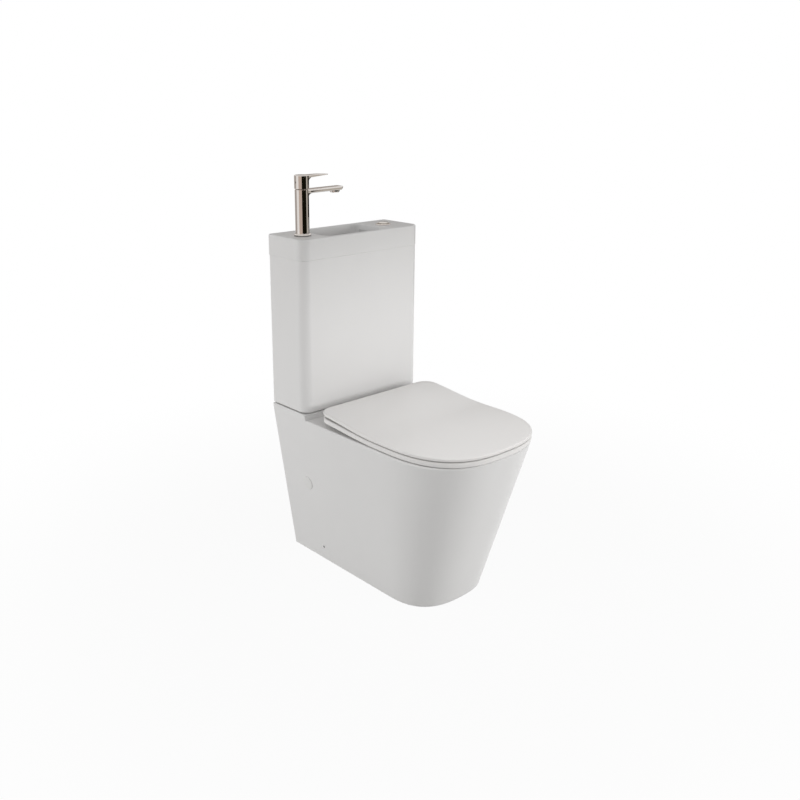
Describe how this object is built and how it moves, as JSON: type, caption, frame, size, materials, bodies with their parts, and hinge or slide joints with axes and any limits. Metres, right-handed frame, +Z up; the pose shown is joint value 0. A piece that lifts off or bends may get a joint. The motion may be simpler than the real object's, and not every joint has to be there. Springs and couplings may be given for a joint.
{
  "type": "toilet with basin on the cistern",
  "caption": "Back-to-wall close-coupled toilet with a rounded seat and lid; the cistern's lid is a hand basin with a lever tap and a round flush button.",
  "frame": {"origin": "on the floor, half way between the wall and the front of the seat, in the middle of the width", "axes": "+X to the user's left-to-right as seen from the front, +Y towards the wall, +Z up; the seat's front is towards -Y"},
  "size_m": [0.37, 0.592, 0.9597],
  "materials": {
    "white_ceramic": "glossy white glaze",
    "cap_plastic": "smooth white",
    "white_plastic": "moulded",
    "seat_plastic": "smooth satin white",
    "chrome": "polished",
    "brass": "machined",
    "steel": "brushed",
    "black_rubber": "matt",
    "soft_rubber": "matt, pale",
    "grey_plastic": "moulded",
    "blue_plastic": "moulded"
  },
  "bodies": {
    "toilet": {"pan": "white_ceramic", "pan_bowl": "white_ceramic", "pan_trap": "white_ceramic", "pan_duct": "white_ceramic", "side_caps": "cap_plastic", "side_screws": "steel", "floor_brackets": "white_plastic", "outlet_connector": "white_plastic", "outlet_seal": "black_rubber", "cistern_tank": "white_ceramic", "sealing_ring": "black_rubber", "coupling_bolts": "brass", "coupling_washers": "black_rubber", "coupling_nuts": "white_plastic", "cistern_lid": "white_ceramic", "basin_waste": "chrome", "waste_strainer": "chrome", "waste_washer": "black_rubber", "waste_nut": "white_plastic", "tap_body": "chrome", "tap_flange": "chrome", "tap_gasket": "black_rubber", "tap_cartridge": "white_plastic", "cartridge_nut": "brass", "aerator": "chrome", "tap_fixing_washer": "black_rubber", "tap_fixing_nut": "brass", "tap_hose": "steel", "fill_valve": "white_plastic", "fill_valve_washer": "black_rubber", "fill_valve_nut": "white_plastic", "flush_valve_base": "white_plastic", "flush_valve_washer": "black_rubber", "flush_valve_nut": "white_plastic", "flush_valve_cage": "blue_plastic", "cable_head": "blue_plastic", "flush_cables": "grey_plastic", "button_ring": "chrome", "button_nut": "white_plastic", "button_housing": "white_plastic", "full_button_spring": "steel", "half_button_spring": "steel", "hinge_posts": "chrome", "hinge_pins": "steel", "hinge_studs": "steel", "hinge_sleeves": "white_plastic"},
    "lid": {"seat_lid": "seat_plastic", "lid_buffers": "soft_rubber"},
    "seat": {"seat": "seat_plastic", "seat_buffers": "soft_rubber"},
    "tap_spindle": {"cartridge_yoke": "grey_plastic"},
    "tap_handle": {"tap_stem": "steel", "tap_lever": "chrome", "lever_screw": "steel"},
    "flush_plunger": {"overflow_tube": "white_plastic", "flush_seal": "soft_rubber"},
    "full_button": {"full_flush_button": "chrome"},
    "half_button": {"half_flush_button": "chrome"},
    "float": {"fill_float": "grey_plastic"},
    "float_arm": {"float_lever": "white_plastic"}
  },
  "joints": [
    {"name": "lid_hinge", "type": "hinge", "parent": "toilet", "child": "lid", "pos_m": [0, 0.113, 0.408], "axis": [-1, 0, 0], "range_deg": [0, 96]},
    {"name": "seat_hinge", "type": "hinge", "parent": "toilet", "child": "seat", "pos_m": [0, 0.113, 0.408], "axis": [-1, 0, 0], "range_deg": [0, 96]},
    {"name": "lever_swivel", "type": "hinge", "parent": "toilet", "child": "tap_spindle", "pos_m": [-0.14, 0.22, 0.9047], "axis": [0, 0, 1], "range_deg": [-45, 45]},
    {"name": "lever_lift", "type": "hinge", "parent": "tap_spindle", "child": "tap_handle", "pos_m": [-0.14, 0.22, 0.9047], "axis": [0, -1, 0], "range_deg": [0, 20]},
    {"name": "flush_lift", "type": "slide", "parent": "toilet", "child": "flush_plunger", "axis": [0, 0, 1], "range_m": [0, 0.012]},
    {"name": "full_button_press", "type": "slide", "parent": "toilet", "child": "full_button", "axis": [0, 0, -1], "range_m": [0, 0.005], "stiffness_N_per_m": 300, "springref_m": -0.005, "deforming": ["full_button_spring"]},
    {"name": "half_button_press", "type": "slide", "parent": "toilet", "child": "half_button", "axis": [0, 0, -1], "range_m": [0, 0.005], "stiffness_N_per_m": 300, "springref_m": -0.005, "deforming": ["half_button_spring"]},
    {"name": "float_rise", "type": "slide", "parent": "toilet", "child": "float", "axis": [0, 0, 1], "range_m": [0, 0.012]},
    {"name": "float_arm_hinge", "type": "hinge", "parent": "toilet", "child": "float_arm", "pos_m": [-0.134, 0.23, 0.6512], "axis": [0, -1, 0], "range_deg": [0, 18.2]}
  ],
  "couplings": [
    {"joint": "seat_hinge", "follows": "lid_hinge", "ratio": 1},
    {"joint": "full_button_press", "follows": "flush_lift", "ratio": 0.41667},
    {"joint": "float_arm_hinge", "follows": "float_rise", "rad_per_m": 26.426}
  ]
}
